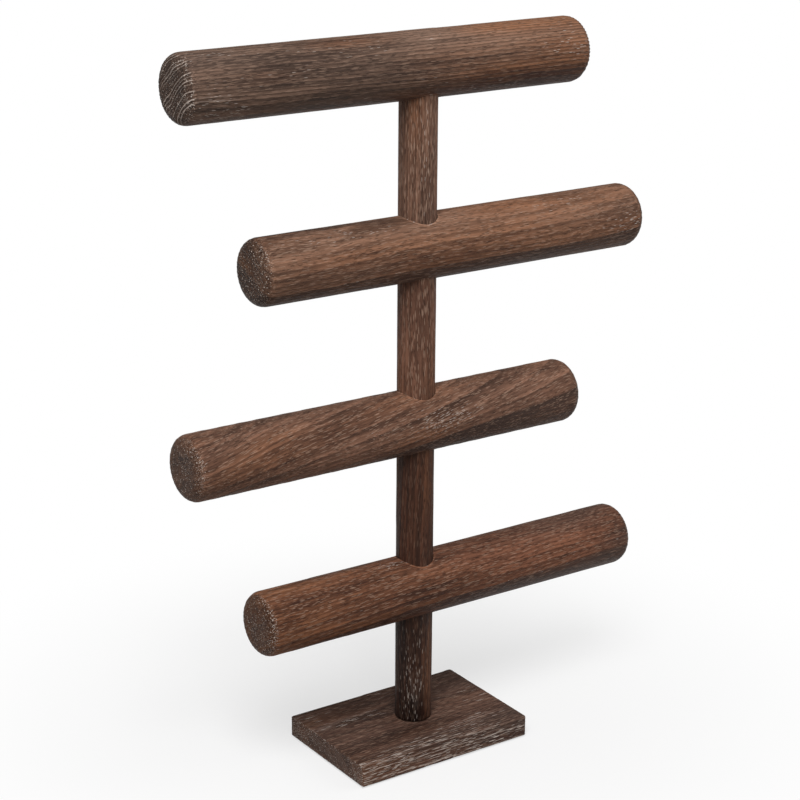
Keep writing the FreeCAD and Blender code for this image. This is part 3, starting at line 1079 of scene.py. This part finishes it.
CAMERA_AZIMUTH = -34.48  # in degrees from the front, as for the lamps
CAMERA_ELEVATION = 18.26
CAMERA_ROLL = 0.37
CAMERA_DISTANCE = 1528.8 * MM
CAMERA_LENS, CAMERA_SENSOR = 94.45, 36.0  # in millimetres
CAMERA_SIGHT = 100.0  # nothing further away is seen
AIM_SIDE = -11.5 * MM
AIM_HEIGHT = 271.3 * MM
FLOOR_HALF = 12.0
FLOOR_PAINT = (0.97, 0.97, 0.97)
FLOOR_BOUNCE = (0.30, 0.29, 0.28)  # the floor as the stand's underside sees it
FLOOR_FADE = (0.10, 0.45, 0.62, 1.0)  # clear white, over the distance from the post
FLOOR_ROUGHNESS, FLOOR_GLOSS = 0.9, 0.1
WHITE = (1.0, 1.0, 1.0)
KEY_LAMP = dict(azimuth=-38, elevation=50, distance=2.2, width=1.1)
FILL_LAMP = dict(azimuth=60, elevation=30, distance=2.4, width=1.6)


def direction(azimuth, elevation):
    """Unit vector from the stand towards a place round it, in degrees from the front."""
    a, e = math.radians(azimuth), math.radians(elevation)
    return Vector((math.sin(a) * math.cos(e), -math.cos(a) * math.cos(e), math.sin(e)))


def place_camera():
    """Camera on the front left, a little above the stand, aimed at its middle."""
    azimuth, roll = math.radians(CAMERA_AZIMUTH), math.radians(CAMERA_ROLL)
    back = direction(CAMERA_AZIMUTH, CAMERA_ELEVATION)
    right = Vector((math.cos(azimuth), math.sin(azimuth), 0))
    up = back.cross(right)
    rolled_right = right * math.cos(roll) + up * math.sin(roll)
    rolled_up = up * math.cos(roll) - right * math.sin(roll)
    aim = Vector((rolled_right.x * AIM_SIDE, rolled_right.y * AIM_SIDE, AIM_HEIGHT))
    camera = bpy.data.objects.new("camera", bpy.data.cameras.new("camera"))
    camera.data.lens = CAMERA_LENS
    camera.data.sensor_width = CAMERA_SENSOR
    camera.data.clip_end = CAMERA_SIGHT
    turn = Matrix((rolled_right, rolled_up, back)).transposed().to_4x4()
    camera.matrix_world = Matrix.Translation(aim + back * CAMERA_DISTANCE) @ turn
    bpy.context.scene.collection.objects.link(camera)
    bpy.context.scene.camera = camera


def soft_light(name, power, azimuth, elevation, distance, width):
    """Square area light that looks at the stand's middle."""
    light = bpy.data.lights.new(name, "AREA")
    light.shape = "SQUARE"
    light.size = width
    light.energy = power
    lamp = bpy.data.objects.new(name, light)
    away = direction(azimuth, elevation)
    lamp.location = Vector((0, 0, AIM_HEIGHT)) + away * distance
    lamp.rotation_mode = "QUATERNION"
    lamp.rotation_quaternion = away.to_track_quat("Z", "Y")
    bpy.context.scene.collection.objects.link(lamp)


def lay_floor():
    """Plain white floor. Seen directly or in a gloss, it fades to clear white round the stand."""
    corners = ((-1, -1, 0), (1, -1, 0), (1, 1, 0), (-1, 1, 0))
    floor = new_piece("floor", np.multiply(corners, FLOOR_HALF), [(0, 1, 2, 3)])
    tree = Tree("white_floor")
    place = tree.add("TexCoord").outputs["Object"]
    distance = tree.add("VectorMath", {0: place}, operation="LENGTH").outputs["Value"]
    path = tree.add("LightPath")
    seen = tree.math("MAXIMUM", path.outputs["Is Camera Ray"], path.outputs["Is Glossy Ray"])
    share = tree.product(tree.rise(distance, *FLOOR_FADE), seen)
    glow = tree.add("Emission", {"Color": WHITE, "Strength": 1.0})
    paint = tree.blend(seen, FLOOR_BOUNCE, FLOOR_PAINT)
    tree.surface(Base_Color=paint, Roughness=FLOOR_ROUGHNESS, Specular_IOR_Level=FLOOR_GLOSS)
    mix = tree.add("MixShader", {0: share, 1: tree.shader.outputs[0], 2: glow.outputs[0]})
    tree.put(tree.nodes["Material Output"].inputs["Surface"], mix.outputs[0])
    floor.data.materials.append(tree.owner)


def light_sky(strength):
    """Even white light from all around, plain white to the camera."""
    tree = Tree("studio", "worlds")
    seen = tree.add("LightPath").outputs["Is Camera Ray"]
    level = tree.add("MapRange", {"Value": seen, "To Min": strength, "To Max": 1.0})
    bpy.context.scene.world = tree.surface(Color=WHITE, Strength=level.outputs[0])


class STAND_OT_stage(bpy.types.Operator):
    """Sets up the floor, the soft lights and the camera"""
    bl_idname = "stand.stage"
    bl_label = "Stage"

    def execute(self, context):
        studio = context.scene.stand_studio
        lay_floor()
        light_sky(studio.sky)
        soft_light("key", studio.key_power, **KEY_LAMP)
        soft_light("fill", studio.fill_power, **FILL_LAMP)
        place_camera()
        context.scene.view_settings.view_transform = "Standard"
        return {"FINISHED"}


class STAND_PT_panel(bpy.types.Panel):
    """Lists the steps that build the stand"""
    bl_idname = "STAND_PT_panel"
    bl_label = "Bracelet stand"
    bl_space_type = "VIEW_3D"
    bl_region_type = "UI"
    bl_category = "Stand"

    def draw(self, context):
        for operator in OPERATORS:
            self.layout.operator(operator.bl_idname)


OPERATORS = (STAND_OT_bars, STAND_OT_post, STAND_OT_base_board, STAND_OT_foot_pads,
             STAND_OT_joints, STAND_OT_stage)


def register():
    """Adds the settings, the operators and the panel."""
    for settings in SETTINGS.values():
        bpy.utils.register_class(settings)
    for key, settings in SETTINGS.items():
        setattr(bpy.types.Scene, key, bpy.props.PointerProperty(type=settings))
    for operator in OPERATORS:
        bpy.utils.register_class(operator)
    bpy.utils.register_class(STAND_PT_panel)


def unregister():
    """Takes them all away again."""
    bpy.utils.unregister_class(STAND_PT_panel)
    for operator in reversed(OPERATORS):
        bpy.utils.unregister_class(operator)
    for key in SETTINGS:
        delattr(bpy.types.Scene, key)
    for settings in reversed(SETTINGS.values()):
        bpy.utils.unregister_class(settings)


def main():
    """Builds every piece and the studio."""
    register()
    bpy.ops.stand.bars()
    bpy.ops.stand.post()
    bpy.ops.stand.base_board()
    bpy.ops.stand.foot_pads()
    bpy.ops.stand.joints()
    bpy.ops.stand.stage()


if __name__ == "__main__":
    main()
